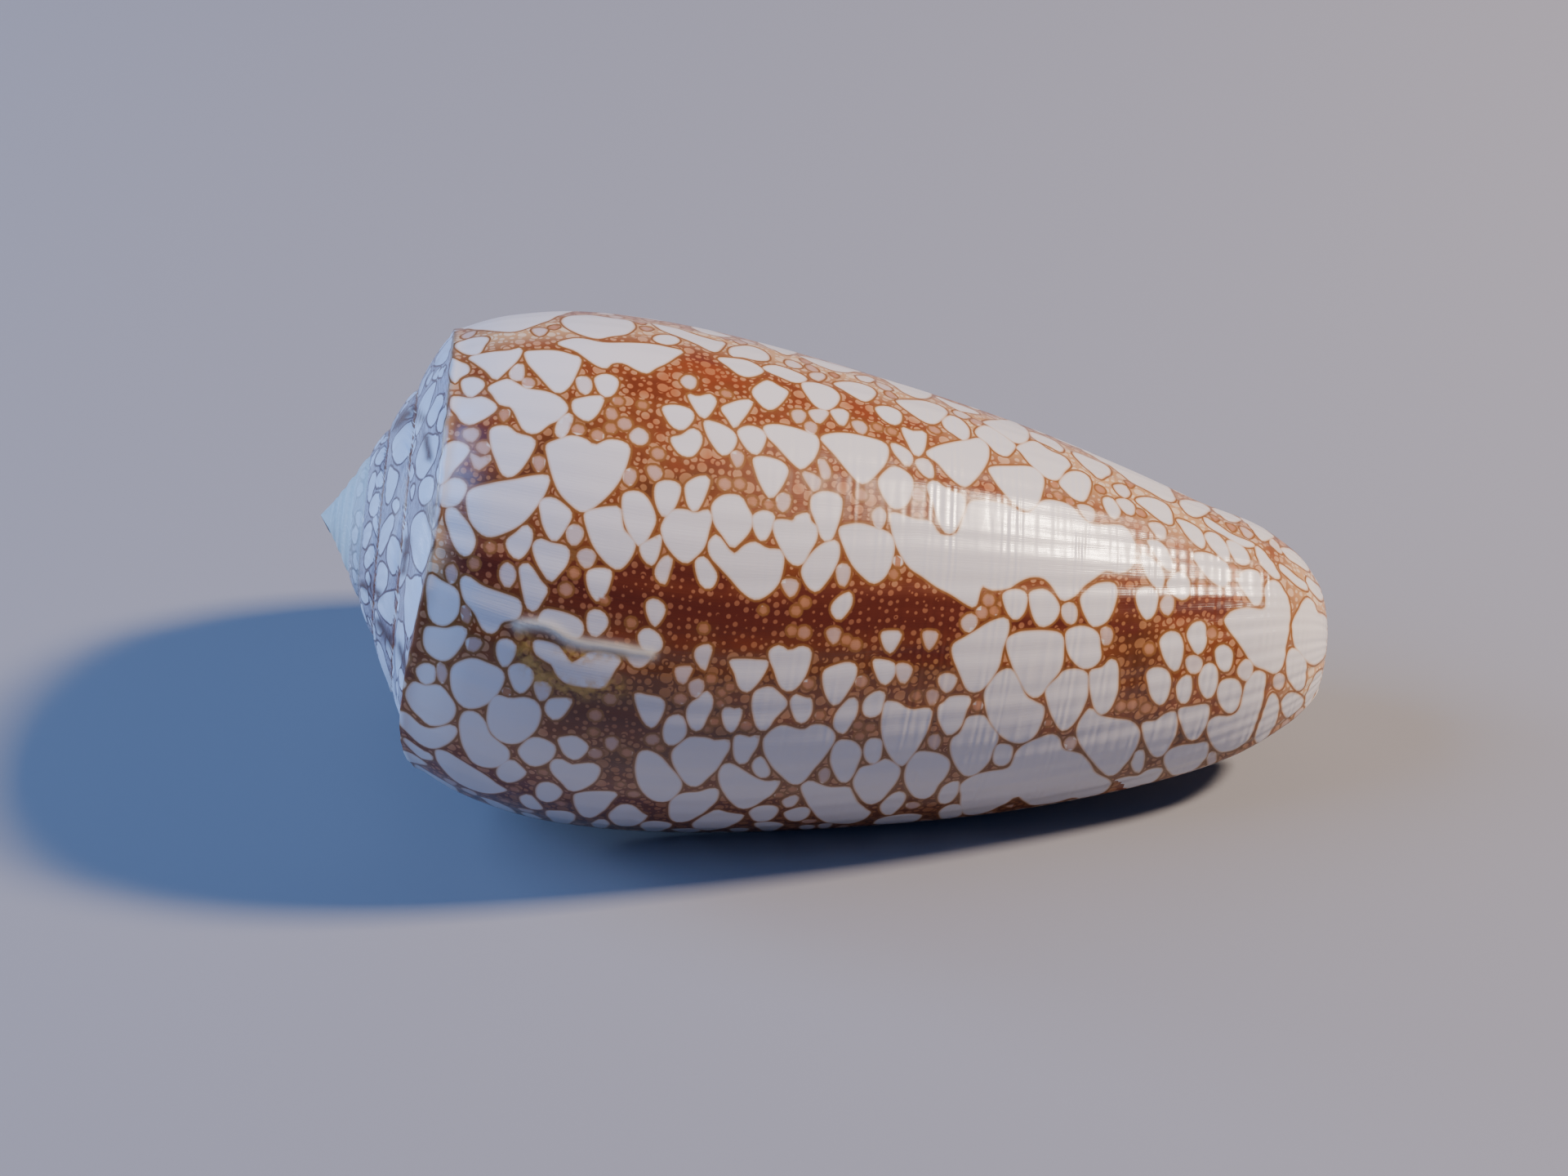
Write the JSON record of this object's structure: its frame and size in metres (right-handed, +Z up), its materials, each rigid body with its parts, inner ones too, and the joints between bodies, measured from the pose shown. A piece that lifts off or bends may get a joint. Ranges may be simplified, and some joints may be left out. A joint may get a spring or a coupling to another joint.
{
  "type": "cone shell",
  "caption": "Empty cone-shaped sea-snail shell with a low spire and a long narrow aperture, lying on its lip, brown with a net of white tent marks.",
  "frame": {"origin": "centre of the bounding box's bottom, on the surface the shell lies on", "axes": "+X from the spire to the base end along the shell's length, +Z up, with the aperture facing down and the side shown in the picture facing -Y"},
  "size_m": [0.0546, 0.0264, 0.0252],
  "materials": {
    "shell_lime": "glossy polished shell, white tents with amber outlines on an orange-brown ground with reddish-brown bands, porcelain white inside"
  },
  "bodies": {
    "root": {"shell": "shell_lime"}
  },
  "joints": []
}
